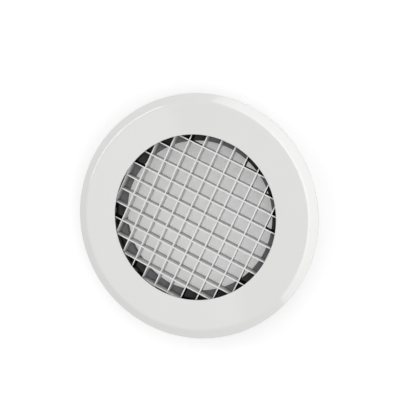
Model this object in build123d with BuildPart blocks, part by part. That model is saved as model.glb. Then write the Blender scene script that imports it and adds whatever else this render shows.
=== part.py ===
from build123d import *
import os
from math import floor, hypot, sqrt

# Round egg-crate air outlet vent, in millimetres.
# The axis of the vent is Z. The ceiling lies at Z = 0, the face looks up along +Z
# and the neck goes down into the duct. The core is two families of strips, half-lapped
# into square cells, that sits on a ledge in the neck behind the opening of the face ring.

# Face ring, spun from sheet
opening_diameter = 140.0
face_thickness = 1.2
bevel_width = 7.7
bevel_drop = 3.0
rim_height = 1.0
bevel_round = 0.6
rim_round = 0.4
lip_round = 0.3

# Egg-crate core
cell_pitch = 12.7
strip_thickness = 1.0
strip_depth = 10.5
core_setback = 4.65
core_lap = 4.4
core_clearance = 0.3
lap_clearance = 0.1
strip_edge_margin = 3.0

# Neck that the duct slides over, rolled and flanged from sheet
neck_wall = 0.8
neck_length = 40.0
neck_bend = 1.5

# Ledge ring that carries the core inside the neck
seat_ledge = 5.0
seat_thickness = 1.0
seat_bend = 0.8
seat_clearance = 0.1
rivet_drop = 7.0
rivet_edge = 5.0

# Rivets that hold the ledge ring to the neck
rivet_count = 6
rivet_diameter = 3.2
rivet_head_diameter = 6.0
rivet_head_height = 1.1
rivet_hole_clearance = 0.05

# Studs welded behind the face, with the washers and nuts that clamp the neck flange
stud_count = 6
stud_diameter = 4.0
stud_inset = 7.0
stud_edge = 5.5
stud_tail = 3.2
stud_chamfer = 0.5
collar_diameter = 5.5
collar_height = 0.6
collar_clearance = 0.25
washer_diameter = 9.0
washer_thickness = 0.8
washer_clearance = 0.15
nut_flats = 7.0
nut_height = 3.2
nut_corner = 0.05
nut_clearance = 0.05

# Foam gaskets
core_gasket_inset = 1.0
core_gasket_clearance = 0.2
ceiling_gasket_gap = 1.5
ceiling_gasket_width = 6.0
ceiling_gasket_margin = 1.0

# Radii, from the opening outwards
opening_radius = opening_diameter / 2
core_radius = opening_radius + core_lap
neck_inner = core_radius + core_clearance
neck_outer = neck_inner + neck_wall
stud_circle = neck_outer + stud_inset
flange_radius = stud_circle + stud_edge
ceiling_gasket_inner = flange_radius + ceiling_gasket_gap
ceiling_gasket_outer = ceiling_gasket_inner + ceiling_gasket_width
bevel_radius = ceiling_gasket_outer + ceiling_gasket_margin
rim_radius = bevel_radius + bevel_width
seat_radius = opening_radius - seat_ledge
seat_outer = neck_inner - seat_clearance
seat_inner = seat_outer - seat_thickness

# Heights above the ceiling
face_top = rim_height + bevel_drop
face_under = face_top - face_thickness
flange_under = face_under - neck_wall
washer_under = flange_under - washer_thickness
nut_under = washer_under - nut_height
stud_end = nut_under - stud_tail
core_front = face_top - core_setback
core_back = core_front - strip_depth
core_middle = (core_front + core_back) / 2
seat_under = core_back - seat_thickness
rivet_height = core_back - rivet_drop
seat_end = rivet_height - rivet_edge

# Strip places on both sides of the axis, which runs through the middle of a cell
strips_per_side = floor((core_radius - strip_edge_margin) / cell_pitch + 0.5)
strip_offsets = [(i + 0.5) * cell_pitch for i in range(-strips_per_side, strips_per_side)]
slot_width = strip_thickness + lap_clearance
slot_depth = (strip_depth + lap_clearance) / 2

# Length of the tool that punches the rivet holes through neck and ledge ring
punch_length = 4 * (neck_wall + seat_thickness)

os.makedirs("parts", exist_ok=True)


def save(part, name):
    """Label one finished piece and write its file."""
    part.label = name
    export_step(part, f"parts/{name}.step")


# Face ring: a flat annulus that ends in a bevel and a short straight rim
bevel_slope = bevel_drop / bevel_width
bevel_slant = hypot(bevel_width, bevel_drop)
under_bevel_radius = bevel_radius - face_thickness * (bevel_slant - bevel_width) / bevel_drop
rim_inner = rim_radius - face_thickness
rim_inner_height = face_under - (rim_inner - under_bevel_radius) * bevel_slope

with BuildPart() as face_ring:
    with BuildSketch(Plane.XZ) as ring_section:
        with BuildLine():
            Polyline(
                (opening_radius, face_under),
                (opening_radius, face_top),
                (bevel_radius, face_top),
                (rim_radius, rim_height),
                (rim_radius, 0),
                (rim_inner, 0),
                (rim_inner, rim_inner_height),
                (under_bevel_radius, face_under),
                close=True,
            )
        make_face()
        corners = ring_section.vertices()
        fillet(corners.sort_by_distance((opening_radius, face_top))[0], radius=lip_round)
        fillet(corners.sort_by_distance((bevel_radius, face_top))[0], radius=bevel_round)
        fillet(corners.sort_by_distance((rim_radius, rim_height))[0], radius=rim_round)
    revolve(axis=Axis.Z)
save(face_ring.part, "face_ring")

# Neck: a tube whose upper end turns out into the flange behind the face
with BuildPart() as neck:
    with BuildSketch(Plane.XZ) as neck_section:
        with BuildLine():
            Polyline(
                (neck_inner, -neck_length),
                (neck_inner, face_under),
                (flange_radius, face_under),
                (flange_radius, flange_under),
                (neck_outer, flange_under),
                (neck_outer, -neck_length),
                close=True,
            )
        make_face()
        corners = neck_section.vertices()
        fillet(corners.sort_by_distance((neck_inner, face_under))[0], radius=neck_bend + neck_wall)
        fillet(corners.sort_by_distance((neck_outer, flange_under))[0], radius=neck_bend)
    revolve(axis=Axis.Z)
    with Locations((0, 0, face_under)):
        with PolarLocations(stud_circle, stud_count):
            Hole(collar_diameter / 2 + collar_clearance, depth=neck_wall)
    with Locations((0, 0, rivet_height)):
        with PolarLocations(neck_inner, rivet_count):
            Cylinder(
                rivet_diameter / 2 + rivet_hole_clearance,
                punch_length,
                rotation=(0, 90, 0),
                mode=Mode.SUBTRACT,
            )
save(neck.part, "neck")

# Ledge ring: an angle section, with its flat side up under the core
with BuildPart() as seat_ring:
    with BuildSketch(Plane.XZ) as seat_section:
        with BuildLine():
            Polyline(
                (seat_radius, core_back),
                (seat_outer, core_back),
                (seat_outer, seat_end),
                (seat_inner, seat_end),
                (seat_inner, seat_under),
                (seat_radius, seat_under),
                close=True,
            )
        make_face()
        corners = seat_section.vertices()
        fillet(corners.sort_by_distance((seat_outer, core_back))[0], radius=seat_bend + seat_thickness)
        fillet(corners.sort_by_distance((seat_inner, seat_under))[0], radius=seat_bend)
    revolve(axis=Axis.Z)
    with Locations((0, 0, rivet_height)):
        with PolarLocations(seat_outer, rivet_count):
            Cylinder(
                rivet_diameter / 2 + rivet_hole_clearance,
                punch_length,
                rotation=(0, 90, 0),
                mode=Mode.SUBTRACT,
            )
save(seat_ring.part, "seat_ring")

# Rivets: a domed head inside the ledge ring, set flush with the outside of the neck
head_radius = rivet_head_diameter / 2
head_dome = (rivet_head_height**2 + head_radius**2) / (2 * rivet_head_height)
head_seat = sqrt(seat_inner**2 - head_radius**2)
head_crown = head_seat - rivet_head_height
shank_end = neck_outer + neck_wall
shank_top = rivet_height + rivet_diameter / 2
rivet_axis = Axis((0, 0, rivet_height), (1, 0, 0))

with BuildPart() as rivet:
    with BuildSketch(Plane.XZ):
        with BuildLine():
            dome = RadiusArc(
                (head_crown, rivet_height), (head_seat, rivet_height + head_radius), head_dome
            )
            Polyline(
                dome @ 1,
                (head_seat, shank_top),
                (shank_end, shank_top),
                (shank_end, rivet_height),
                dome @ 0,
            )
        make_face()
    revolve(axis=rivet_axis)
    with Locations((0, 0, rivet_height)):
        Cylinder(neck_outer, punch_length + rivet_head_diameter, mode=Mode.INTERSECT)

with BuildPart() as seat_rivets:
    with PolarLocations(0, rivet_count):
        add(rivet.part)
save(seat_rivets.part, "seat_rivets")


# Core: strips that halve into each other, one family slotted from the back, one from the front
def core_strip(plane, offset, slot_side):
    """One strip of the core, with a half-depth slot at each strip that it crosses."""
    crossings = [
        place
        for place in strip_offsets
        if hypot(abs(offset) - strip_thickness, abs(place) - strip_thickness) < core_radius
    ]
    slot_height = slot_side * (strip_depth - slot_depth) / 2
    with BuildPart() as strip:
        with BuildSketch(plane):
            Rectangle(2 * core_radius, strip_depth)
            with Locations(*[(place, slot_height) for place in crossings]):
                Rectangle(slot_width, slot_depth, mode=Mode.SUBTRACT)
        extrude(amount=strip_thickness / 2, both=True)
        with Locations((0, 0, core_middle)):
            Cylinder(core_radius, 2 * strip_depth, mode=Mode.INTERSECT)
    return strip.part


for number, offset in enumerate(strip_offsets, start=1):
    row_plane = Plane((0, offset, core_middle), x_dir=(1, 0, 0), z_dir=(0, -1, 0))
    save(core_strip(row_plane, offset, slot_side=-1), f"row_strip_{number:02d}")
    column_plane = Plane((offset, 0, core_middle), x_dir=(0, 1, 0), z_dir=(1, 0, 0))
    save(core_strip(column_plane, offset, slot_side=1), f"column_strip_{number:02d}")

# Foam ring between the lip of the face and the front of the core
with BuildPart() as core_gasket:
    with BuildSketch(Plane.XY.offset(core_front)):
        Circle(neck_inner - core_gasket_clearance)
        Circle(opening_radius + core_gasket_inset, mode=Mode.SUBTRACT)
    extrude(amount=face_under - core_front)
save(core_gasket.part, "core_gasket")

# Foam ring behind the face that seals against the ceiling
with BuildPart() as ceiling_gasket:
    with BuildSketch(Plane.XY):
        Circle(ceiling_gasket_outer)
        Circle(ceiling_gasket_inner, mode=Mode.SUBTRACT)
    extrude(amount=face_under)
save(ceiling_gasket.part, "ceiling_gasket")

# Studs: a weld collar against the face, and a plain shank with a chamfered end
with BuildPart() as stud:
    with BuildSketch(Plane.XY.offset(face_under)):
        with Locations((stud_circle, 0)):
            Circle(stud_diameter / 2)
    extrude(amount=stud_end - face_under)
    chamfer(stud.edges().filter_by(GeomType.CIRCLE).sort_by(Axis.Z)[0], length=stud_chamfer)
    with BuildSketch(Plane.XY.offset(face_under)):
        with Locations((stud_circle, 0)):
            Circle(collar_diameter / 2)
    extrude(amount=-collar_height)

with BuildPart() as weld_studs:
    with PolarLocations(0, stud_count):
        add(stud.part)
save(weld_studs.part, "weld_studs")

# Washers under the flange
with BuildPart() as flange_washers:
    with BuildSketch(Plane.XY.offset(washer_under)):
        with PolarLocations(stud_circle, stud_count):
            Circle(washer_diameter / 2)
            Circle(stud_diameter / 2 + washer_clearance, mode=Mode.SUBTRACT)
    extrude(amount=washer_thickness)
save(flange_washers.part, "flange_washers")

# Nuts: hexagons with their corners turned off at both ends by 45 degree cones
nut_end = nut_flats / 2 + nut_corner
nut_wide = nut_end + nut_height

with BuildPart() as nut:
    with BuildSketch(Plane.XY.offset(nut_under)):
        with Locations((stud_circle, 0)):
            RegularPolygon(nut_flats / 2, 6, major_radius=False)
    extrude(amount=nut_height)
    with Locations((stud_circle, 0, nut_under + nut_height / 2)):
        Cone(nut_wide, nut_end, nut_height, mode=Mode.INTERSECT)
        Cone(nut_end, nut_wide, nut_height, mode=Mode.INTERSECT)
        Hole(stud_diameter / 2 + nut_clearance)

with BuildPart() as flange_nuts:
    with PolarLocations(0, stud_count):
        add(nut.part)
save(flange_nuts.part, "flange_nuts")
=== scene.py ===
"""Round egg-crate air outlet vent: finishes, fine shapes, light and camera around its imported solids."""
from math import cos, hypot, pi, radians, sin, sqrt

import bmesh
import bpy
from bpy.props import FloatProperty, FloatVectorProperty, IntProperty, PointerProperty
from mathutils import Matrix, Vector


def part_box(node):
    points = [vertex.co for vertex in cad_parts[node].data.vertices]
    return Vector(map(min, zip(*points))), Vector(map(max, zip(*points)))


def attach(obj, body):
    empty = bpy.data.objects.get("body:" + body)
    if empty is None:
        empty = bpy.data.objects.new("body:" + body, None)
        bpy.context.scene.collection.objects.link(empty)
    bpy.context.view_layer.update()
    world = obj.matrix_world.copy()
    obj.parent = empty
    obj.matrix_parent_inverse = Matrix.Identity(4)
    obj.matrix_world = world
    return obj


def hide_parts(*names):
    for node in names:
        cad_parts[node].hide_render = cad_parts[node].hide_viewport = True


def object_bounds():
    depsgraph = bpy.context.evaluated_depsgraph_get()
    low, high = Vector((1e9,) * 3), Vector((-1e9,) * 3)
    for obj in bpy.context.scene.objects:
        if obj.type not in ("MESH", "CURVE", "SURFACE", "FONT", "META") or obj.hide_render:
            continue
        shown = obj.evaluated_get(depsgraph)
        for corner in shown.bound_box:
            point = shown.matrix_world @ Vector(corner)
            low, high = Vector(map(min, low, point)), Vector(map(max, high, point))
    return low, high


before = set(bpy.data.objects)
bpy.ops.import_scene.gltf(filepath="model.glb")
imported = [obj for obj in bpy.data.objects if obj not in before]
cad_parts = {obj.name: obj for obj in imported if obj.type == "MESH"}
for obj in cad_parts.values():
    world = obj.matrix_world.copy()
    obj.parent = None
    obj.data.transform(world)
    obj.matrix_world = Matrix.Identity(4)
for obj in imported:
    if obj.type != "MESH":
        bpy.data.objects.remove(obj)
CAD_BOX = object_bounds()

bl_info = {
    "name": "Egg-crate air vent",
    "version": (1, 0, 0),
    "blender": (4, 5, 0),
    "location": "3D View > Sidebar > Air Vent",
    "description": "Builds the finished pieces of a round egg-crate air outlet vent and its stage",
    "category": "Object",
}

MM = 0.001
BODY = "root"

# Corners closer than this are merged, and cuts snap to corners closer than this
MERGE_DISTANCE = 0.5e-6
CUT_DISTANCE = 1e-7

# Edges that turn by more than this are rounded
STRIP_EDGE_ANGLE = radians(25)
COLLAR_EDGE_ANGLE = radians(45)

# A face belongs to a strip's side where its normal points this far across the strip
SIDE_FACING = 0.9

# Material slots of a strip after the first, which is the coat of its edges: the sides' coat with painted
# shade, and the painted black shade of the part cells
SHADED_SIDE_COAT = 1
PART_CELL_SHADE = 2

# Most values of a noise lie between these two
NOISE_LOW = 0.3
NOISE_HIGH = 0.7

# Sockets of a Mix node for its two colours and their mix
MIX_FIRST = 6
MIX_SECOND = 7
MIX_RESULT = 2

ROW_STRIPS = sorted(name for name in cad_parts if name.startswith("row_strip"))
COLUMN_STRIPS = sorted(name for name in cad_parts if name.startswith("column_strip"))


def node_radii(node):
    """Smallest and largest distance of a solid's corners from the vent's axis."""
    spans = [hypot(corner.co.x, corner.co.y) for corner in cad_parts[node].data.vertices]
    return min(spans), max(spans)


OPENING_RADIUS, RIM_RADIUS = node_radii("face_ring")
FACE_BACK, FACE_TOP = (corner.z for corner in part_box("face_ring"))
CORE_BACK, CORE_FRONT = (corner.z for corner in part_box(ROW_STRIPS[0]))
CORE_RADIUS = max(node_radii(name)[1] for name in ROW_STRIPS)
FLOOR_HEIGHT = CAD_BOX[0].z
STRIP_PLACES = sorted((sum(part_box(name), Vector()) / 2).y for name in ROW_STRIPS)
STRIP_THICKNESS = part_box(ROW_STRIPS[0])[1].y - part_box(ROW_STRIPS[0])[0].y


def meets_core(along, across):
    """True where a strip at one distance crosses a strip at the other inside the core's round edge."""
    return hypot(abs(along) - STRIP_THICKNESS, abs(across) - STRIP_THICKNESS) < CORE_RADIUS


def next_strip(distance):
    """Place of the first strip beyond a distance from the axis, or the rim where there is none."""
    return min((place for place in STRIP_PLACES if place > abs(distance)), default=RIM_RADIUS)


def whole_cell(spot):
    """True where a spot lies in a cell of the core that has all four corners."""
    return meets_core(next_strip(spot.x), next_strip(spot.y))


class VentShapes(bpy.types.PropertyGroup):
    """Sizes that the solids' boxes don't give."""

    face_thickness: FloatProperty(
        name="Face thickness", description="Sheet thickness of the face ring",
        default=1.2 * MM, unit="LENGTH", subtype="DISTANCE")
    bevel_width: FloatProperty(
        name="Bevel width", description="Width of the sloping rim, along the radius",
        default=7.7 * MM, unit="LENGTH", subtype="DISTANCE")
    bevel_drop: FloatProperty(
        name="Bevel drop", description="Height that the sloping rim falls",
        default=3.0 * MM, unit="LENGTH", subtype="DISTANCE")
    lip_break: FloatProperty(
        name="Lip rounding", description="Rounding of the edge around the opening",
        default=0.5 * MM, unit="LENGTH", subtype="DISTANCE")
    bevel_break: FloatProperty(
        name="Bevel rounding",
        description="Length of the bend on each side of the corner above the sloping rim",
        default=1.6 * MM, unit="LENGTH", subtype="DISTANCE")
    bend_steps: IntProperty(
        name="Bend steps", description="Steps in the bend above the sloping rim", default=8, min=2)
    rim_break: FloatProperty(
        name="Rim rounding", description="Rounding of the outermost edges",
        default=0.35 * MM, unit="LENGTH", subtype="DISTANCE")
    ring_steps: IntProperty(
        name="Ring steps", description="Steps around the face ring", default=288, min=48)
    slot_clearance: FloatProperty(
        name="Slot clearance", description="Extra width of a lap slot over the strip in it",
        default=0.1 * MM, unit="LENGTH", subtype="DISTANCE")
    strip_break: FloatProperty(
        name="Strip edge rounding", description="Rounding that the coat leaves on the strips' edges",
        default=0.1 * MM, unit="LENGTH", subtype="DISTANCE")
    foam_break: FloatProperty(
        name="Foam edge rounding", description="Soft rounding of the foam rings' edges",
        default=0.5 * MM, unit="LENGTH", subtype="DISTANCE")
    foam_joint: FloatProperty(
        name="Foam joint", description="Gap where the two ends of a foam strip meet",
        default=0.4 * MM, unit="LENGTH", subtype="DISTANCE")
    foam_steps: IntProperty(
        name="Foam steps", description="Steps around a foam ring", default=192, min=48)
    stud_count: IntProperty(
        name="Studs", description="Number of studs around the neck", default=6, min=2)
    stud_diameter: FloatProperty(
        name="Stud diameter", description="Diameter over the stud threads",
        default=4.0 * MM, unit="LENGTH", subtype="DISTANCE")
    stud_chamfer: FloatProperty(
        name="Stud chamfer", description="Chamfer at the free end of a stud",
        default=0.5 * MM, unit="LENGTH", subtype="DISTANCE")
    collar_height: FloatProperty(
        name="Collar height", description="Height of the weld collar around a stud",
        default=0.6 * MM, unit="LENGTH", subtype="DISTANCE")
    collar_break: FloatProperty(
        name="Collar rounding", description="Rounding of the weld collar's edges",
        default=0.15 * MM, unit="LENGTH", subtype="DISTANCE")
    collar_steps: IntProperty(
        name="Collar steps", description="Steps around a weld collar", default=48, min=12)
    thread_steps: IntProperty(
        name="Thread steps", description="Steps in one turn of a thread", default=24, min=12)
    thread_pitch: FloatProperty(
        name="Thread pitch", description="Pitch of the stud threads",
        default=0.7 * MM, unit="LENGTH", subtype="DISTANCE")
    thread_depth: FloatProperty(
        name="Thread depth", description="Depth of the stud threads",
        default=0.38 * MM, unit="LENGTH", subtype="DISTANCE")


class VentFinishes(bpy.types.PropertyGroup):
    """Colours of the finishes."""

    face_white: FloatVectorProperty(
        name="Face white", description="Powder coat of the face ring",
        default=(0.82, 0.82, 0.81), size=3, min=0.0, max=1.0, subtype="COLOR")
    strip_white: FloatVectorProperty(
        name="Strip white", description="Powder coat of the core strips",
        default=(0.95, 0.95, 0.935), size=3, min=0.0, max=1.0, subtype="COLOR")
    # Painted shade: the sides are greyer than the strips' fronts, and the painted depth shade scales this
    # colour further
    shaded_side_white: FloatVectorProperty(
        name="Side white", description="Thinner, greyer coat on the sides of the core strips",
        default=(0.68, 0.68, 0.67), size=3, min=0.0, max=1.0, subtype="COLOR")
    dark_grey: FloatVectorProperty(
        name="Dark grey", description="Matt coat of the neck and the ledge ring",
        default=(0.25, 0.254, 0.263), size=3, min=0.0, max=1.0, subtype="COLOR")
    # Painted shade: the part cells around the core's edge are black where they lie in deep shade
    part_cell_shade_black: FloatVectorProperty(
        name="Edge black", description="Black of the part cells around the core's edge",
        default=(0.006, 0.006, 0.0065), size=3, min=0.0, max=1.0, subtype="COLOR")
    # Painted shade: the ledge ring is darker in the part cells around the core's edge
    part_cell_shade_grey: FloatVectorProperty(
        name="Edge grey", description="Coat of the ledge ring in the part cells around the core's edge",
        default=(0.125, 0.129, 0.133), size=3, min=0.0, max=1.0, subtype="COLOR")
    # Partly painted shade: darker than black foam itself, for the shade of its recess under the lip
    core_foam: FloatVectorProperty(
        name="Core foam", description="Foam between the face and the core",
        default=(0.004, 0.004, 0.0045), size=3, min=0.0, max=1.0, subtype="COLOR")
    ceiling_foam: FloatVectorProperty(
        name="Ceiling foam", description="Foam behind the face",
        default=(0.11, 0.11, 0.115), size=3, min=0.0, max=1.0, subtype="COLOR")
    zinc: FloatVectorProperty(
        name="Zinc", description="Plating of studs, washers and nuts",
        default=(0.62, 0.62, 0.60), size=3, min=0.0, max=1.0, subtype="COLOR")
    rivet_metal: FloatVectorProperty(
        name="Rivet metal", description="Bare metal of the rivets",
        default=(0.60, 0.60, 0.61), size=3, min=0.0, max=1.0, subtype="COLOR")


class VentStage(bpy.types.PropertyGroup):
    """Camera, light and floor."""

    camera_place: FloatVectorProperty(
        name="Camera place", description="Where the camera stands",
        default=(0.0958, 0.1167, 0.5105), size=3, unit="LENGTH", subtype="TRANSLATION")
    camera_aim: FloatVectorProperty(
        name="Camera aim", description="Point that the camera looks at",
        default=(-0.0009, 0.0168, 0.004), size=3, unit="LENGTH", subtype="TRANSLATION")
    camera_turn: FloatProperty(
        name="Camera turn", description="Turn of the picture's up side about the vent's axis",
        default=radians(25.43), unit="ROTATION", subtype="ANGLE")
    camera_lens: FloatProperty(
        name="Lens", description="Focal length in millimetres on a 36 mm sensor", default=56.62)
    sky_strength: FloatProperty(
        name="Sky strength", description="Even light from all around", default=0.408)
    key_place: FloatVectorProperty(
        name="Key light place", description="Where the large soft light hangs, level above the vent",
        default=(0.877, 0.655, 2.0), size=3, unit="LENGTH", subtype="TRANSLATION")
    key_turn: FloatProperty(
        name="Key light turn", description="Turn of the soft light about the vent's axis",
        default=radians(-44.0), unit="ROTATION", subtype="ANGLE")
    key_length: FloatProperty(
        name="Key light length", description="Long side of the soft light",
        default=4.55, unit="LENGTH", subtype="DISTANCE")
    key_width: FloatProperty(
        name="Key light width", description="Short side of the soft light",
        default=1.4, unit="LENGTH", subtype="DISTANCE")
    key_spread: FloatProperty(
        name="Key light spread", description="Angle that the grid in front of the soft light lets out",
        default=radians(135.0), unit="ROTATION", subtype="ANGLE")
    key_power: FloatProperty(
        name="Key light power", description="Power of the soft light in watts", default=25.2)
    fill_place: FloatVectorProperty(
        name="Fill light place", description="Where the weaker soft light hangs, level above the vent",
        default=(-0.86, -0.94, 2.0), size=3, unit="LENGTH", subtype="TRANSLATION")
    fill_turn: FloatProperty(
        name="Fill light turn", description="Turn of the weaker light about the vent's axis",
        default=radians(45.0), unit="ROTATION", subtype="ANGLE")
    fill_length: FloatProperty(
        name="Fill light length", description="Long side of the weaker light",
        default=1.5, unit="LENGTH", subtype="DISTANCE")
    fill_width: FloatProperty(
        name="Fill light width", description="Short side of the weaker light",
        default=1.3, unit="LENGTH", subtype="DISTANCE")
    fill_power: FloatProperty(
        name="Fill light power", description="Power of the weaker light in watts", default=2.6)
    line_place: FloatVectorProperty(
        name="Line light place",
        description="Where the narrow light hangs that draws a line along the bend",
        default=(-2.04, -0.11, 2.0), size=3, unit="LENGTH", subtype="TRANSLATION")
    line_turn: FloatProperty(
        name="Line light turn", description="Turn of the narrow light about the vent's axis",
        default=radians(60.7), unit="ROTATION", subtype="ANGLE")
    line_length: FloatProperty(
        name="Line light length", description="Long side of the narrow light",
        default=1.95, unit="LENGTH", subtype="DISTANCE")
    line_width: FloatProperty(
        name="Line light width", description="Short side of the narrow light",
        default=0.5, unit="LENGTH", subtype="DISTANCE")
    line_power: FloatProperty(
        name="Line light power", description="Power of the narrow light in watts", default=9.0)
    floor_colour: FloatVectorProperty(
        name="Floor", description="Colour of the floor",
        default=(0.85, 0.85, 0.85), size=3, min=0.0, max=1.0, subtype="COLOR")
    floor_lift: FloatProperty(
        name="Floor lift", description="Brightness that the open floor adds where it is seen directly",
        default=0.385)
    # Painted light and shade on the floor under the vent: the brightness added there is lower than on the
    # open floor, rises towards the neck's wall and leans along X and Y
    under_lift: FloatProperty(
        name="Lift under the vent", description="The same brightness in the middle of the neck's foot",
        default=0.282)
    foot_lift: FloatProperty(
        name="Lift at the foot", description="The same brightness beside the wall of the neck's foot",
        default=0.34)
    under_lean: FloatVectorProperty(
        name="Lean under the vent", description="Change of that brightness per metre along X and Y",
        default=(-0.25, -1.03, 0.0), size=3)
    fade_start: FloatProperty(
        name="Fade start",
        description="Distance from the axis at which the floor starts to fade to white",
        default=0.4, unit="LENGTH", subtype="DISTANCE")
    fade_end: FloatProperty(
        name="Fade end",
        description="Distance from the axis at which the floor is as white as the backdrop",
        default=2.5, unit="LENGTH", subtype="DISTANCE")
    floor_size: FloatProperty(
        name="Floor size", description="Side of the floor",
        default=12.0, unit="LENGTH", subtype="DISTANCE")


# Shader node groups

def add_node(tree, kind, inputs=None, **settings):
    """A new node with its settings and input defaults."""
    node = tree.nodes.new(kind)
    for name, value in settings.items():
        setattr(node, name, value)
    for name, value in (inputs or {}).items():
        node.inputs[name].default_value = value
    return node


def new_group(name, inputs, outputs):
    """An empty shader node group with its sockets, its input node and its output node."""
    group = bpy.data.node_groups.new(name, "ShaderNodeTree")
    for socket, kind, value in inputs:
        made = group.interface.new_socket(socket, in_out="INPUT", socket_type=kind)
        if value is not None:
            made.default_value = value
    for socket, kind in outputs:
        group.interface.new_socket(socket, in_out="OUTPUT", socket_type=kind)
    return group, group.nodes.new("NodeGroupInput"), group.nodes.new("NodeGroupOutput")


def ramp(tree, start, end, low=0.0, high=1.0):
    """A node that runs from low to high while its value runs from start to end."""
    limits = {"From Min": start, "From Max": end, "To Min": low, "To Max": high}
    return add_node(tree, "ShaderNodeMapRange", limits)


def axis_distance(tree, place):
    """Distance of a place from the vent's axis."""
    flat = add_node(tree, "ShaderNodeVectorMath", {1: (1, 1, 0)}, operation="MULTIPLY")
    reach = add_node(tree, "ShaderNodeVectorMath", operation="LENGTH")
    tree.links.new(place, flat.inputs[0])
    tree.links.new(flat.outputs[0], reach.inputs[0])
    return reach.outputs["Value"]


def spread(tree, source, low, high):
    """Noise values, which gather around a half, stretched to run from low to high."""
    stretch = ramp(tree, NOISE_LOW, NOISE_HIGH, low, high)
    tree.links.new(source, stretch.inputs[0])
    return stretch.outputs[0]


def tinted(tree, colour, factor):
    """A colour multiplied by a grey factor."""
    scale = add_node(tree, "ShaderNodeVectorMath", operation="SCALE")
    tree.links.new(colour, scale.inputs[0])
    tree.links.new(factor, scale.inputs["Scale"])
    return scale.outputs[0]


def coat_group():
    """Powder coat: a fine orange peel, and broad faint changes of tone and gloss."""
    group, inlet, outlet = new_group(
        "Powder coat",
        [("Vector", "NodeSocketVector", None), ("Colour", "NodeSocketColor", None),
         ("Tone Change", "NodeSocketFloat", 0.012), ("Gloss Low", "NodeSocketFloat", 0.3),
         ("Gloss High", "NodeSocketFloat", 0.4), ("Peel Scale", "NodeSocketFloat", 900.0)],
        [("Colour", "NodeSocketColor"), ("Roughness", "NodeSocketFloat"), ("Height", "NodeSocketFloat")])
    links = group.links
    broad = add_node(group, "ShaderNodeTexNoise", {"Scale": 22.0, "Detail": 3.0})
    patch = add_node(group, "ShaderNodeTexNoise", {"Scale": 140.0, "Detail": 2.0})
    peel = add_node(group, "ShaderNodeTexNoise", {"Detail": 2.0, "Roughness": 0.45})
    for noise in (broad, patch, peel):
        links.new(inlet.outputs["Vector"], noise.inputs["Vector"])
    links.new(inlet.outputs["Peel Scale"], peel.inputs["Scale"])
    lower = add_node(group, "ShaderNodeMath", {0: 1.0}, operation="SUBTRACT")
    upper = add_node(group, "ShaderNodeMath", {0: 1.0}, operation="ADD")
    tone = ramp(group, NOISE_LOW, NOISE_HIGH)
    gloss = ramp(group, NOISE_LOW, NOISE_HIGH)
    links.new(inlet.outputs["Tone Change"], lower.inputs[1])
    links.new(inlet.outputs["Tone Change"], upper.inputs[1])
    links.new(broad.outputs["Fac"], tone.inputs[0])
    links.new(lower.outputs[0], tone.inputs["To Min"])
    links.new(upper.outputs[0], tone.inputs["To Max"])
    links.new(patch.outputs["Fac"], gloss.inputs[0])
    links.new(inlet.outputs["Gloss Low"], gloss.inputs["To Min"])
    links.new(inlet.outputs["Gloss High"], gloss.inputs["To Max"])
    links.new(tinted(group, inlet.outputs["Colour"], tone.outputs[0]), outlet.inputs["Colour"])
    links.new(gloss.outputs[0], outlet.inputs["Roughness"])
    links.new(peel.outputs["Fac"], outlet.inputs["Height"])
    return group


def plating_group():
    """Plated or bare metal: a fine spangle of tone and gloss."""
    group, inlet, outlet = new_group(
        "Metal spangle",
        [("Vector", "NodeSocketVector", None), ("Colour", "NodeSocketColor", None),
         ("Spangle Scale", "NodeSocketFloat", 900.0)],
        [("Colour", "NodeSocketColor"), ("Roughness", "NodeSocketFloat"), ("Height", "NodeSocketFloat")])
    links = group.links
    flake = add_node(group, "ShaderNodeTexVoronoi", feature="F1")
    cloud = add_node(group, "ShaderNodeTexNoise", {"Scale": 420.0, "Detail": 4.0})
    links.new(inlet.outputs["Vector"], flake.inputs["Vector"])
    links.new(inlet.outputs["Vector"], cloud.inputs["Vector"])
    links.new(inlet.outputs["Spangle Scale"], flake.inputs["Scale"])
    shade = spread(group, flake.outputs["Distance"], low=1.06, high=0.86)
    links.new(tinted(group, inlet.outputs["Colour"], shade), outlet.inputs["Colour"])
    links.new(spread(group, cloud.outputs["Fac"], low=0.24, high=0.46), outlet.inputs["Roughness"])
    links.new(cloud.outputs["Fac"], outlet.inputs["Height"])
    return group


def foam_group():
    """Closed-cell foam: small round cells, darker between them."""
    group, inlet, outlet = new_group(
        "Foam cells",
        [("Vector", "NodeSocketVector", None), ("Colour", "NodeSocketColor", None),
         ("Cell Scale", "NodeSocketFloat", 1600.0)],
        [("Colour", "NodeSocketColor"), ("Roughness", "NodeSocketFloat"), ("Height", "NodeSocketFloat")])
    links = group.links
    cells = add_node(group, "ShaderNodeTexVoronoi", feature="SMOOTH_F1")
    cloud = add_node(group, "ShaderNodeTexNoise", {"Scale": 260.0, "Detail": 3.0})
    links.new(inlet.outputs["Vector"], cells.inputs["Vector"])
    links.new(inlet.outputs["Vector"], cloud.inputs["Vector"])
    links.new(inlet.outputs["Cell Scale"], cells.inputs["Scale"])
    shade = spread(group, cells.outputs["Distance"], low=0.7, high=1.5)
    links.new(tinted(group, inlet.outputs["Colour"], shade), outlet.inputs["Colour"])
    links.new(spread(group, cloud.outputs["Fac"], low=0.8, high=0.95), outlet.inputs["Roughness"])
    links.new(cells.outputs["Distance"], outlet.inputs["Height"])
    return group


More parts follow.
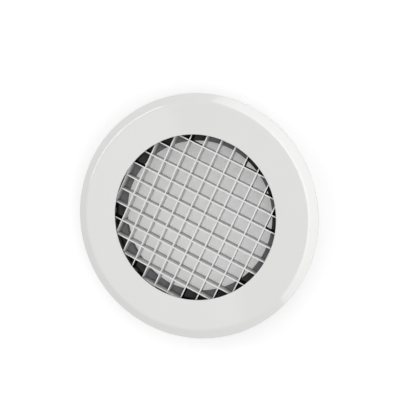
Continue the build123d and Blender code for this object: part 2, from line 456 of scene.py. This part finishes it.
def cell_group():
    """Whole is one in the core's whole cells and nought in its part cells. The second output falls towards
    the core's rim, a painted shade at the core's edge.
    """
    group, inlet, outlet = new_group(
        "Whole cells", [("Vector", "NodeSocketVector", None)],
        [("Whole", "NodeSocketFloat"), ("Rim Shade", "NodeSocketFloat")])
    links = group.links
    pitch = STRIP_PLACES[1] - STRIP_PLACES[0]
    # The second output falls from one to a low level near the rim: painted shade
    fade_start = CORE_RADIUS - 3.4 * MM
    fade_end = CORE_RADIUS - MM
    rim_shade_level = 0.12
    half = (0.5, 0.5, 0.5)
    steps = [
        add_node(group, "ShaderNodeVectorMath", operation="ABSOLUTE"),
        add_node(group, "ShaderNodeVectorMath", {"Scale": 1 / pitch}, operation="SCALE"),
        add_node(group, "ShaderNodeVectorMath", {1: half}, operation="SUBTRACT"),
        add_node(group, "ShaderNodeVectorMath", operation="CEIL"),
        add_node(group, "ShaderNodeVectorMath", {1: half}, operation="ADD"),
        add_node(group, "ShaderNodeVectorMath", {1: (pitch, pitch, 0)}, operation="MULTIPLY")]
    source = inlet.outputs["Vector"]
    for step in steps:
        links.new(source, step.inputs[0])
        source = step.outputs[0]
    corner = add_node(group, "ShaderNodeVectorMath", operation="LENGTH")
    inside = add_node(group, "ShaderNodeMath", {1: CORE_RADIUS}, operation="LESS_THAN")
    links.new(source, corner.inputs[0])
    links.new(corner.outputs["Value"], inside.inputs[0])
    links.new(inside.outputs[0], outlet.inputs["Whole"])
    fade = ramp(group, fade_start, fade_end, 1.0, rim_shade_level)
    links.new(axis_distance(group, inlet.outputs["Vector"]), fade.inputs[0])
    links.new(fade.outputs[0], outlet.inputs["Rim Shade"])
    return group


def depth_group():
    """Painted shade and light on the strips' sides: a factor on their colour, from Front at the front to
    Back at the back, darker beside the ledge ring and near crossings.
    """
    group, inlet, outlet = new_group(
        "Painted depth shade",
        [("Vector", "NodeSocketVector", None), ("Front", "NodeSocketFloat", 1.0),
         ("Back", "NodeSocketFloat", 0.8), ("Ledge Back", "NodeSocketFloat", 0.5),
         ("Crossing", "NodeSocketFloat", 1.0)],
        [("Factor", "NodeSocketFloat")])
    links = group.links
    ledge_radius = node_radii("seat_ring")[0]
    ledge_start = ledge_radius - 4 * MM
    ledge_end = ledge_radius + 2 * MM
    half_pitch = (STRIP_PLACES[1] - STRIP_PLACES[0]) / 2
    parts = add_node(group, "ShaderNodeSeparateXYZ")
    # Painted shade: the back of a side turns darker beside the ledge ring
    back = ramp(group, ledge_start, ledge_end)
    depth = ramp(group, CORE_FRONT, CORE_BACK)
    away = add_node(group, "ShaderNodeMath", operation="MAXIMUM")
    crossing = ramp(group, STRIP_THICKNESS / 2, 2 * STRIP_THICKNESS)
    factor = add_node(group, "ShaderNodeMath", operation="MULTIPLY")
    links.new(inlet.outputs["Vector"], parts.inputs[0])
    links.new(axis_distance(group, inlet.outputs["Vector"]), back.inputs[0])
    links.new(inlet.outputs["Back"], back.inputs["To Min"])
    links.new(inlet.outputs["Ledge Back"], back.inputs["To Max"])
    links.new(parts.outputs["Z"], depth.inputs[0])
    links.new(inlet.outputs["Front"], depth.inputs["To Min"])
    links.new(back.outputs[0], depth.inputs["To Max"])
    # Painted shade in the corners where strips cross
    for place, axis in enumerate("XY"):
        moved = add_node(group, "ShaderNodeMath", {1: half_pitch}, operation="ADD")
        gap = add_node(group, "ShaderNodeMath", {1: half_pitch}, operation="PINGPONG")
        links.new(parts.outputs[axis], moved.inputs[0])
        links.new(moved.outputs[0], gap.inputs[0])
        links.new(gap.outputs[0], away.inputs[place])
    links.new(away.outputs[0], crossing.inputs[0])
    links.new(inlet.outputs["Crossing"], crossing.inputs["To Min"])
    links.new(depth.outputs[0], factor.inputs[0])
    links.new(crossing.outputs[0], factor.inputs[1])
    links.new(factor.outputs[0], outlet.inputs["Factor"])
    return group


GROUPS = {
    "Powder coat": coat_group, "Metal spangle": plating_group, "Foam cells": foam_group,
    "Whole cells": cell_group, "Painted depth shade": depth_group}


def shared_group(name):
    """A shared node group, built at its first use."""
    return bpy.data.node_groups.get(name) or GROUPS[name]()


# Materials

def finish_material(name, kind, colour, values, bump_strength, bump_depth, **sockets):
    """One finish: a shared surface group that feeds colour, roughness and bump of a Principled shader."""
    made = bpy.data.materials.get(name)
    if made:
        return made
    made = bpy.data.materials.new(name)
    made.use_nodes = True
    made.diffuse_color = (*colour, 1.0)
    tree = made.node_tree
    shader = tree.nodes["Principled BSDF"]
    place = add_node(tree, "ShaderNodeTexCoord")
    surface = add_node(tree, "ShaderNodeGroup", node_tree=shared_group(kind))
    surface.inputs["Colour"].default_value = (*colour, 1.0)
    for socket, value in values.items():
        surface.inputs[socket].default_value = value
    bump = add_node(tree, "ShaderNodeBump", {"Strength": bump_strength, "Distance": bump_depth})
    for socket, value in sockets.items():
        shader.inputs[socket.replace("_", " ")].default_value = value
    tree.links.new(place.outputs["Object"], surface.inputs["Vector"])
    tree.links.new(surface.outputs["Colour"], shader.inputs["Base Color"])
    tree.links.new(surface.outputs["Roughness"], shader.inputs["Roughness"])
    tree.links.new(surface.outputs["Height"], bump.inputs["Height"])
    tree.links.new(bump.outputs["Normal"], shader.inputs["Normal"])
    return made


def face_white():
    """Satin white powder coat of the face ring."""
    colour = bpy.context.scene.vent_finishes.face_white
    return finish_material(
        "face_white_coat", "Powder coat", colour,
        {"Tone Change": 0.008, "Gloss Low": 0.32, "Gloss High": 0.40, "Peel Scale": 800.0},
        bump_strength=0.25, bump_depth=0.01 * MM, Coat_Weight=1.0, Coat_Roughness=0.06, Coat_IOR=1.7)


def strip_white():
    """Satin white powder coat of the strips, a little rougher than the face."""
    colour = bpy.context.scene.vent_finishes.strip_white
    return finish_material(
        "strip_white_coat", "Powder coat", colour,
        {"Tone Change": 0.02, "Gloss Low": 0.36, "Gloss High": 0.46, "Peel Scale": 1100.0},
        bump_strength=0.2, bump_depth=0.02 * MM)


def shaded_strip_side(family, front, back, ledge_back, crossing):
    """Coat on the sides of one family of strips, whose colour is scaled by painted shade and light: lighter
    at the front, darker towards the back, beside the ledge ring and near crossings.
    """
    colour = bpy.context.scene.vent_finishes.shaded_side_white
    made = finish_material(
        family + "_side_painted_shade", "Powder coat", colour,
        {"Tone Change": 0.03, "Gloss Low": 0.28, "Gloss High": 0.40, "Peel Scale": 1100.0},
        bump_strength=0.2, bump_depth=0.02 * MM)
    tree = made.node_tree
    shade = add_node(
        tree, "ShaderNodeGroup",
        {"Front": front, "Back": back, "Ledge Back": ledge_back, "Crossing": crossing},
        node_tree=shared_group("Painted depth shade"))
    # The painted shade factor scales the side colour
    scale = add_node(tree, "ShaderNodeVectorMath", {0: colour}, operation="SCALE")
    tree.links.new(tree.nodes["Texture Coordinate"].outputs["Object"], shade.inputs["Vector"])
    tree.links.new(shade.outputs["Factor"], scale.inputs["Scale"])
    tree.links.new(scale.outputs[0], tree.nodes["Group"].inputs["Colour"])
    return made


DARK_SURFACE = {"Tone Change": 0.07, "Gloss Low": 0.50, "Gloss High": 0.66, "Peel Scale": 1300.0}


def dark_coat():
    """Matt dark grey coat of the neck."""
    colour = bpy.context.scene.vent_finishes.dark_grey
    return finish_material(
        "dark_grey_coat", "Powder coat", colour, DARK_SURFACE, bump_strength=0.35, bump_depth=0.03 * MM)


def part_cell_shade_black():
    """Painted black shade on the strips' sides in the part cells around the core's edge."""
    colour = bpy.context.scene.vent_finishes.part_cell_shade_black
    return finish_material(
        "part_cell_shade_black_coat", "Powder coat", colour,
        {"Tone Change": 0.1, "Gloss Low": 0.55, "Gloss High": 0.7, "Peel Scale": 1300.0},
        bump_strength=0.3, bump_depth=0.02 * MM, Specular_IOR_Level=0.05)


def ledge_coat():
    """Coat of the ledge ring: dark grey in whole cells, with painted shade that makes it darker in part
    cells and towards the core's rim.
    """
    finishes = bpy.context.scene.vent_finishes
    made = finish_material(
        "ledge_coat", "Powder coat", finishes.dark_grey, DARK_SURFACE,
        bump_strength=0.35, bump_depth=0.03 * MM, Specular_IOR_Level=0.05)
    tree = made.node_tree
    place = tree.nodes["Texture Coordinate"]
    surface = tree.nodes["Group"]
    # Painted shade: darker grey in part cells, and darker still towards the core's rim
    inside = add_node(tree, "ShaderNodeGroup", node_tree=shared_group("Whole cells"))
    pick = add_node(tree, "ShaderNodeMix", data_type="RGBA")
    pick.inputs[MIX_FIRST].default_value = (*finishes.part_cell_shade_grey, 1.0)
    pick.inputs[MIX_SECOND].default_value = (*finishes.dark_grey, 1.0)
    tree.links.new(place.outputs["Object"], inside.inputs["Vector"])
    tree.links.new(inside.outputs["Whole"], pick.inputs[0])
    colour = tinted(tree, pick.outputs[MIX_RESULT], inside.outputs["Rim Shade"])
    tree.links.new(colour, surface.inputs["Colour"])
    return made


def core_foam():
    """Black foam between the face and the core, darker than black foam itself as painted shade of its
    recess under the lip.
    """
    colour = bpy.context.scene.vent_finishes.core_foam
    return finish_material(
        "black_foam", "Foam cells", colour, {"Cell Scale": 1600.0},
        bump_strength=0.5, bump_depth=0.15 * MM, Specular_IOR_Level=0.05)


def ceiling_foam():
    """Grey foam against the ceiling."""
    colour = bpy.context.scene.vent_finishes.ceiling_foam
    return finish_material(
        "grey_foam", "Foam cells", colour, {"Cell Scale": 1600.0},
        bump_strength=0.5, bump_depth=0.15 * MM, Specular_IOR_Level=0.2)


def zinc_plate():
    """Zinc plating of the studs, washers and nuts."""
    colour = bpy.context.scene.vent_finishes.zinc
    return finish_material(
        "zinc_plate", "Metal spangle", colour, {"Spangle Scale": 900.0},
        bump_strength=0.15, bump_depth=0.01 * MM, Metallic=1.0)


def rivet_metal():
    """Bare metal of the rivets."""
    colour = bpy.context.scene.vent_finishes.rivet_metal
    return finish_material(
        "rivet_metal", "Metal spangle", colour, {"Spangle Scale": 1400.0},
        bump_strength=0.2, bump_depth=0.01 * MM, Metallic=1.0)


def seen_rays(tree):
    """One where a ray comes from the camera, or from a mirror or glass, and nought elsewhere."""
    path = add_node(tree, "ShaderNodeLightPath")
    first = add_node(tree, "ShaderNodeMath", operation="MAXIMUM")
    second = add_node(tree, "ShaderNodeMath", operation="MAXIMUM")
    tree.links.new(path.outputs["Is Camera Ray"], first.inputs[0])
    tree.links.new(path.outputs["Is Glossy Ray"], first.inputs[1])
    tree.links.new(first.outputs[0], second.inputs[0])
    tree.links.new(path.outputs["Is Transmission Ray"], second.inputs[1])
    return second.outputs[0]


def floor_paper(stage):
    """Pale paper, brighter where it is seen directly, white far out and clear from below; under the vent
    the added brightness is painted light and shade.
    """
    foot = node_radii("neck")[0]
    material = bpy.data.materials.new("floor_paper")
    material.use_nodes = True
    tree = material.node_tree
    tree.nodes.clear()
    link = tree.links.new
    place = add_node(tree, "ShaderNodeTexCoord")
    reach = axis_distance(tree, place.outputs["Object"])
    # Painted light and shade under the vent: a lower lift, rising towards the wall of the neck's foot and
    # leaning along X and Y as the light falls
    lean = add_node(tree, "ShaderNodeVectorMath", {1: stage.under_lean}, operation="DOT_PRODUCT")
    under = ramp(tree, foot / 3, foot, stage.under_lift, stage.foot_lift)
    leant = add_node(tree, "ShaderNodeMath", operation="ADD")
    far = ramp(tree, stage.fade_start, stage.fade_end, stage.floor_lift, 1.0)
    level = ramp(tree, foot, foot + MM)
    lift = add_node(tree, "ShaderNodeMath", operation="MULTIPLY")
    link(place.outputs["Object"], lean.inputs[0])
    for zone in (under, far, level):
        link(reach, zone.inputs[0])
    link(under.outputs[0], leant.inputs[0])
    link(lean.outputs["Value"], leant.inputs[1])
    link(leant.outputs[0], level.inputs["To Min"])
    link(far.outputs[0], level.inputs["To Max"])
    link(level.outputs[0], lift.inputs[0])
    link(seen_rays(tree), lift.inputs[1])
    paper = add_node(tree, "ShaderNodeBsdfDiffuse", {"Color": (*stage.floor_colour, 1.0)})
    glow = add_node(tree, "ShaderNodeEmission", {"Color": (1, 1, 1, 1)})
    both = add_node(tree, "ShaderNodeAddShader")
    sides = add_node(tree, "ShaderNodeNewGeometry")
    clear = add_node(tree, "ShaderNodeBsdfTransparent")
    pick = add_node(tree, "ShaderNodeMixShader")
    out = add_node(tree, "ShaderNodeOutputMaterial")
    link(lift.outputs[0], glow.inputs["Strength"])
    link(paper.outputs[0], both.inputs[0])
    link(glow.outputs[0], both.inputs[1])
    link(sides.outputs["Backfacing"], pick.inputs[0])
    link(both.outputs[0], pick.inputs[1])
    link(clear.outputs[0], pick.inputs[2])
    link(pick.outputs[0], out.inputs["Surface"])
    return material


# Mesh helpers

def everything(shape):
    """All corners, edges and faces of a shape."""
    return list(shape.verts) + list(shape.edges) + list(shape.faces)


def section_face(shape, outline):
    """A closed section in the plane of the axis, drawn from points of radius and height."""
    corners = [shape.verts.new((radius, 0.0, height)) for radius, height in outline]
    shape.faces.new(corners)
    return corners


def round_corners(shape, corners, amount, segments=3):
    """Round chosen corners of a flat section."""
    bmesh.ops.bevel(
        shape, geom=corners, offset=amount, segments=segments, profile=0.5,
        affect="VERTICES", offset_type="OFFSET", clamp_overlap=True, material=-1)


def round_edges(shape, edges, amount, segments):
    """Round chosen edges of a solid."""
    bmesh.ops.bevel(
        shape, geom=edges, offset=amount, segments=segments, profile=0.5,
        affect="EDGES", offset_type="OFFSET", clamp_overlap=True, material=-1)


def spin_section(shape, steps, gap=0.0):
    """Sweep the section about the vent's axis, with capped ends where an angle is left as a gap."""
    section = list(shape.faces)
    if gap:
        swept = bmesh.ops.duplicate(shape, geom=section)["geom"]
    else:
        bmesh.ops.delete(shape, geom=section, context="FACES_ONLY")
        swept = list(shape.verts) + list(shape.edges)
    bmesh.ops.spin(
        shape, geom=swept, cent=(0, 0, 0), axis=(0, 0, 1), dvec=(0, 0, 0),
        angle=2 * pi - gap, steps=steps, use_merge=not gap)
    bmesh.ops.remove_doubles(shape, verts=shape.verts, dist=MERGE_DISTANCE)
    bmesh.ops.recalc_face_normals(shape, faces=shape.faces)


def finished(shape, name, materials, nodes, sharp=35.0):
    """Turn a bmesh into a piece that rides on the vent and stands for its solids."""
    mesh = bpy.data.meshes.new(name)
    shape.to_mesh(mesh)
    shape.free()
    for material in materials:
        mesh.materials.append(material)
    mesh.shade_smooth()
    mesh.set_sharp_from_angle(angle=radians(sharp))
    piece = bpy.data.objects.new(name, mesh)
    bpy.context.scene.collection.objects.link(piece)
    piece.modifiers.new("flat faces stay flat", "WEIGHTED_NORMAL").keep_sharp = True
    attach(piece, BODY)
    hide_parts(*nodes)
    return piece


def paint_node(node, material):
    """Give its finish to a solid that shows as it is."""
    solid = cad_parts[node]
    for place in solid.material_slots:
        place.material = material


# Operators

class VENT_OT_face_ring(bpy.types.Operator):
    """Spin the white face ring with its sloping rim and softly rounded edges"""

    bl_idname = "vent.face_ring"
    bl_label = "Face Ring"

    def execute(self, context):
        sizes = context.scene.vent_shapes
        bevel_radius = RIM_RADIUS - sizes.bevel_width
        rim_height = FACE_TOP - sizes.bevel_drop
        face_under = FACE_TOP - sizes.face_thickness
        slant = hypot(sizes.bevel_width, sizes.bevel_drop)
        under_bevel = bevel_radius - sizes.face_thickness * (slant - sizes.bevel_width) / sizes.bevel_drop
        rim_inner = RIM_RADIUS - sizes.face_thickness
        rim_inner_height = face_under - (rim_inner - under_bevel) * sizes.bevel_drop / sizes.bevel_width
        shape = bmesh.new()
        corners = section_face(shape, [
            (OPENING_RADIUS, face_under), (OPENING_RADIUS, FACE_TOP), (bevel_radius, FACE_TOP),
            (RIM_RADIUS, rim_height), (RIM_RADIUS, FACE_BACK), (rim_inner, FACE_BACK),
            (rim_inner, rim_inner_height), (under_bevel, face_under)])
        lip, turn, edge = corners[0:2], corners[2:3], corners[3:5]
        round_corners(shape, lip, sizes.lip_break)
        round_corners(shape, turn, sizes.bevel_break, sizes.bend_steps)
        round_corners(shape, edge, sizes.rim_break)
        spin_section(shape, sizes.ring_steps)
        finished(shape, "face_ring_spun", [face_white()], ["face_ring"])
        return {"FINISHED"}


class VENT_OT_core_strips(bpy.types.Operator):
    """Cut the lap slots into every strip of the core and round the strips' edges"""

    bl_idname = "vent.core_strips"
    bl_label = "Core Strips"

    def strip(self, node, along, across, crossings, slot_side, sizes):
        """One strip: a flat blank, slotted, thickened, fitted to the core's round edge and rounded."""
        low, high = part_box(node)
        offset = ((low + high) / 2).dot(across)
        thickness = (high - low).dot(across)
        half_slot = (thickness + sizes.slot_clearance) / 2
        slot_end = (CORE_FRONT + CORE_BACK) / 2 - slot_side * sizes.slot_clearance / 2
        half_length = sqrt(CORE_RADIUS**2 - offset**2)
        up = Vector((0, 0, 1))
        middle = across * offset + up * (CORE_FRONT + CORE_BACK) / 2
        blank = Matrix((along, up, across)).transposed().to_4x4()
        blank.translation = middle
        size = Matrix.Diagonal((2 * half_length, CORE_FRONT - CORE_BACK, 1, 1))
        shape = bmesh.new()
        bmesh.ops.create_grid(shape, x_segments=1, y_segments=1, size=0.5, matrix=blank @ size)
        cuts = [(along * (place + side * half_slot), along) for place in crossings for side in (-1, 1)]
        cuts.append((up * slot_end, up))
        for point, normal in cuts:
            bmesh.ops.bisect_plane(
                shape, geom=everything(shape), dist=CUT_DISTANCE, plane_co=point, plane_no=normal)
        holes = [
            face for face in shape.faces
            if (face.calc_center_median().z - slot_end) * slot_side > 0
            and any(abs(face.calc_center_median().dot(along) - place) < half_slot for place in crossings)]
        bmesh.ops.delete(shape, geom=holes, context="FACES")
        bmesh.ops.translate(shape, verts=shape.verts, vec=-across * thickness / 2)
        grown = bmesh.ops.extrude_face_region(shape, geom=list(shape.faces), use_keep_orig=True)["geom"]
        moved = [part for part in grown if isinstance(part, bmesh.types.BMVert)]
        bmesh.ops.translate(shape, verts=moved, vec=across * thickness)
        end_slack = half_slot / 100
        for corner in shape.verts:
            reach = corner.co.dot(along)
            if abs(reach) > half_length - end_slack:
                edge = sqrt(CORE_RADIUS**2 - corner.co.dot(across) ** 2)
                corner.co += along * (edge * (1 if reach > 0 else -1) - reach)
        bmesh.ops.recalc_face_normals(shape, faces=shape.faces)
        sharp = [line for line in shape.edges if line.calc_face_angle(0) > STRIP_EDGE_ANGLE]
        round_edges(shape, sharp, sizes.strip_break, segments=2)
        # Sides in whole cells take the coat with painted depth shade; sides in part cells take the black
        # painted shade
        for face in shape.faces:
            side = face.normal.dot(across)
            if abs(side) > SIDE_FACING:
                spot = face.calc_center_median() + across * side * thickness
                face.material_index = SHADED_SIDE_COAT if whole_cell(spot) else PART_CELL_SHADE
        return shape

    def execute(self, context):
        sizes = context.scene.vent_shapes
        x_axis, y_axis = Vector((1, 0, 0)), Vector((0, 1, 0))
        # Painted shade and light on the sides: row sides darken far more towards the back than column
        # sides, as the light falls, and column sides darken near crossings
        row_side = shaded_strip_side("row", front=1.35, back=0.36, ledge_back=0.12, crossing=1.0)
        column_side = shaded_strip_side("column", front=1.3, back=1.0, ledge_back=0.25, crossing=0.6)
        families = [
            (ROW_STRIPS, x_axis, y_axis, -1, row_side), (COLUMN_STRIPS, y_axis, x_axis, 1, column_side)]
        for strips, along, across, slot_side, side_painted_shade in families:
            for node in strips:
                offset = (sum(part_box(node), Vector()) / 2).dot(across)
                crossings = [place for place in STRIP_PLACES if meets_core(offset, place)]
                shape = self.strip(node, along, across, crossings, slot_side, sizes)
                coats = [strip_white(), side_painted_shade, part_cell_shade_black()]
                finished(shape, node + "_slotted", coats, [node], sharp=50.0)
        return {"FINISHED"}


class VENT_OT_neck(bpy.types.Operator):
    """Give the neck and the ledge ring their dark coat"""

    bl_idname = "vent.neck"
    bl_label = "Neck and Ledge"

    def execute(self, context):
        paint_node("neck", dark_coat())
        paint_node("seat_ring", ledge_coat())
        return {"FINISHED"}


class VENT_OT_gaskets(bpy.types.Operator):
    """Lay the two foam strips into rings whose ends meet in a joint"""

    bl_idname = "vent.gaskets"
    bl_label = "Foam Rings"

    def execute(self, context):
        sizes = context.scene.vent_shapes
        for node, material in (("core_gasket", core_foam()), ("ceiling_gasket", ceiling_foam())):
            inner, outer = node_radii(node)
            bottom, top = (corner.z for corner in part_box(node))
            shape = bmesh.new()
            corners = section_face(shape, [(inner, bottom), (outer, bottom), (outer, top), (inner, top)])
            round_corners(shape, corners, sizes.foam_break)
            spin_section(shape, sizes.foam_steps, gap=sizes.foam_joint / outer)
            finished(shape, node + "_strip", [material], [node])
        return {"FINISHED"}


class VENT_OT_fasteners(bpy.types.Operator):
    """Thread the studs and plate the washers, nuts and rivets"""

    bl_idname = "vent.fasteners"
    bl_label = "Fasteners"

    def shank(self, shape, top, bottom, sizes):
        """A threaded shank: one pitch of outline swept up a helix, cut level at both ends and closed."""
        pitch, steps = sizes.thread_pitch, sizes.thread_steps
        crest = sizes.stud_diameter / 2
        root = crest - sizes.thread_depth
        root_flat, crest_flat = 0.12, 0.06
        spare_turns = 3
        outline = [
            (root, 0.0), (root, root_flat), (crest, 0.5 - crest_flat), (crest, 0.5 + crest_flat),
            (root, 1 - root_flat), (root, 1.0)]
        points = [shape.verts.new((reach, 0.0, bottom + (part - 1) * pitch)) for reach, part in outline]
        lines = [shape.edges.new(pair) for pair in zip(points, points[1:])]
        turns = int((top - bottom) / pitch) + spare_turns
        bmesh.ops.spin(
            shape, geom=points + lines, cent=(0, 0, 0), axis=(0, 0, 1), dvec=(0, 0, pitch / steps),
            angle=2 * pi * turns, steps=turns * steps, use_merge=False)
        bmesh.ops.remove_doubles(shape, verts=shape.verts, dist=pitch / 200)
        for height, way in ((top, 1), (bottom, -1)):
            bmesh.ops.bisect_plane(
                shape, geom=everything(shape), dist=pitch / 500, plane_co=(0, 0, height),
                plane_no=(0, 0, way), clear_outer=True)
        for corner in shape.verts:
            reach = hypot(corner.co.x, corner.co.y)
            limit = crest - sizes.stud_chamfer + corner.co.z - bottom
            corner.co.xy *= min(1.0, limit / reach)
        bmesh.ops.holes_fill(shape, edges=[line for line in shape.edges if line.is_boundary], sides=0)

    def execute(self, context):
        sizes = context.scene.vent_shapes
        bottom, top = (corner.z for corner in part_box("weld_studs"))
        inner, outer = node_radii("weld_studs")
        collar_under = top - sizes.collar_height
        collar_radius = (outer - inner) / 2
        collar_place = Matrix.Translation((0, 0, (top + collar_under) / 2))
        shape = bmesh.new()
        self.shank(shape, collar_under, bottom, sizes)
        collar = bmesh.ops.create_cone(
            shape, cap_ends=True, segments=sizes.collar_steps, radius1=collar_radius, radius2=collar_radius,
            depth=sizes.collar_height, matrix=collar_place)["verts"]
        rim = [
            line for line in shape.edges
            if line.verts[0] in collar and line.calc_face_angle(0) > COLLAR_EDGE_ANGLE]
        round_edges(shape, rim, sizes.collar_break, segments=3)
        bmesh.ops.recalc_face_normals(shape, faces=shape.faces)
        bmesh.ops.translate(shape, verts=shape.verts, vec=((inner + outer) / 2, 0, 0))
        copies = sizes.stud_count - 1
        bmesh.ops.spin(
            shape, geom=everything(shape), cent=(0, 0, 0), axis=(0, 0, 1), dvec=(0, 0, 0),
            angle=2 * pi * copies / sizes.stud_count, steps=copies, use_duplicate=True)
        finished(shape, "weld_studs_threaded", [zinc_plate()], ["weld_studs"])
        for node in ("flange_washers", "flange_nuts"):
            paint_node(node, zinc_plate())
        paint_node("seat_rivets", rivet_metal())
        return {"FINISHED"}


class VENT_OT_stage(bpy.types.Operator):
    """Set up the pale floor, the soft light and the camera"""

    bl_idname = "vent.stage"
    bl_label = "Stage"

    def floor(self, stage):
        """A plain pale floor under the neck."""
        shape = bmesh.new()
        bmesh.ops.create_grid(
            shape, x_segments=1, y_segments=1, size=stage.floor_size / 2,
            matrix=Matrix.Translation((0, 0, FLOOR_HEIGHT)))
        mesh = bpy.data.meshes.new("floor")
        shape.to_mesh(mesh)
        shape.free()
        mesh.materials.append(floor_paper(stage))
        floor = bpy.data.objects.new("floor", mesh)
        bpy.context.scene.collection.objects.link(floor)

    def sky(self, stage):
        """Even light from all around, white where it is seen directly."""
        world = bpy.data.worlds.new("studio")
        bpy.context.scene.world = world
        world.use_nodes = True
        tree = world.node_tree
        backdrop = tree.nodes["Background"]
        backdrop.inputs["Color"].default_value = (1, 1, 1, 1)
        level = ramp(tree, 0.0, 1.0, stage.sky_strength, 1.0)
        tree.links.new(seen_rays(tree), level.inputs[0])
        tree.links.new(level.outputs[0], backdrop.inputs["Strength"])

    def soft_light(self, name, place, turn, sides, angle, power):
        """A large soft light, which hangs level and shines straight down."""
        lamp = bpy.data.lights.new(name, "AREA")
        lamp.shape = "RECTANGLE"
        lamp.size, lamp.size_y = sides
        lamp.spread = angle
        lamp.energy = power
        light = bpy.data.objects.new(name, lamp)
        light.location = place
        light.rotation_euler = (0.0, 0.0, turn)
        bpy.context.scene.collection.objects.link(light)

    def camera(self, stage):
        """The camera at the photograph's viewing angle."""
        lens = bpy.data.cameras.new("camera")
        lens.lens = stage.camera_lens
        lens.sensor_width = 36.0
        lens.clip_start = 0.01
        camera = bpy.data.objects.new("camera", lens)
        back = (Vector(stage.camera_place) - Vector(stage.camera_aim)).normalized()
        hint = Vector((-sin(stage.camera_turn), cos(stage.camera_turn), 0.0))
        right = hint.cross(back).normalized()
        up = back.cross(right)
        turn = Matrix((right, up, back)).transposed().to_4x4()
        camera.matrix_world = Matrix.Translation(stage.camera_place) @ turn
        bpy.context.scene.collection.objects.link(camera)
        bpy.context.scene.camera = camera

    def execute(self, context):
        stage = context.scene.vent_stage
        self.floor(stage)
        self.sky(stage)
        self.soft_light(
            "key_light", stage.key_place, stage.key_turn, (stage.key_length, stage.key_width),
            stage.key_spread, stage.key_power)
        self.soft_light(
            "fill_light", stage.fill_place, stage.fill_turn, (stage.fill_length, stage.fill_width), pi,
            stage.fill_power)
        self.soft_light(
            "line_light", stage.line_place, stage.line_turn, (stage.line_length, stage.line_width), pi,
            stage.line_power)
        self.camera(stage)
        context.scene.view_settings.view_transform = "Standard"
        return {"FINISHED"}


class VENT_PT_sidebar(bpy.types.Panel):
    """Sidebar panel that lists the vent's operators"""

    bl_idname = "VENT_PT_sidebar"
    bl_label = "Air Vent"
    bl_space_type = "VIEW_3D"
    bl_region_type = "UI"
    bl_category = "Air Vent"

    def draw(self, context):
        for operator in OPERATORS:
            self.layout.operator(operator.bl_idname)


OPERATORS = (
    VENT_OT_face_ring, VENT_OT_core_strips, VENT_OT_neck, VENT_OT_gaskets, VENT_OT_fasteners, VENT_OT_stage)
CLASSES = (VentShapes, VentFinishes, VentStage, *OPERATORS, VENT_PT_sidebar)


def register():
    """Make the classes and the vent's settings known."""
    for kind in CLASSES:
        bpy.utils.register_class(kind)
    bpy.types.Scene.vent_shapes = PointerProperty(type=VentShapes)
    bpy.types.Scene.vent_finishes = PointerProperty(type=VentFinishes)
    bpy.types.Scene.vent_stage = PointerProperty(type=VentStage)


def unregister():
    """Take the vent's settings and the classes out again."""
    del bpy.types.Scene.vent_stage
    del bpy.types.Scene.vent_finishes
    del bpy.types.Scene.vent_shapes
    for kind in reversed(CLASSES):
        bpy.utils.unregister_class(kind)


def main():
    """Build every piece and the stage."""
    register()
    bpy.ops.vent.face_ring()
    bpy.ops.vent.core_strips()
    bpy.ops.vent.neck()
    bpy.ops.vent.gaskets()
    bpy.ops.vent.fasteners()
    bpy.ops.vent.stage()


if __name__ == "__main__":
    main()
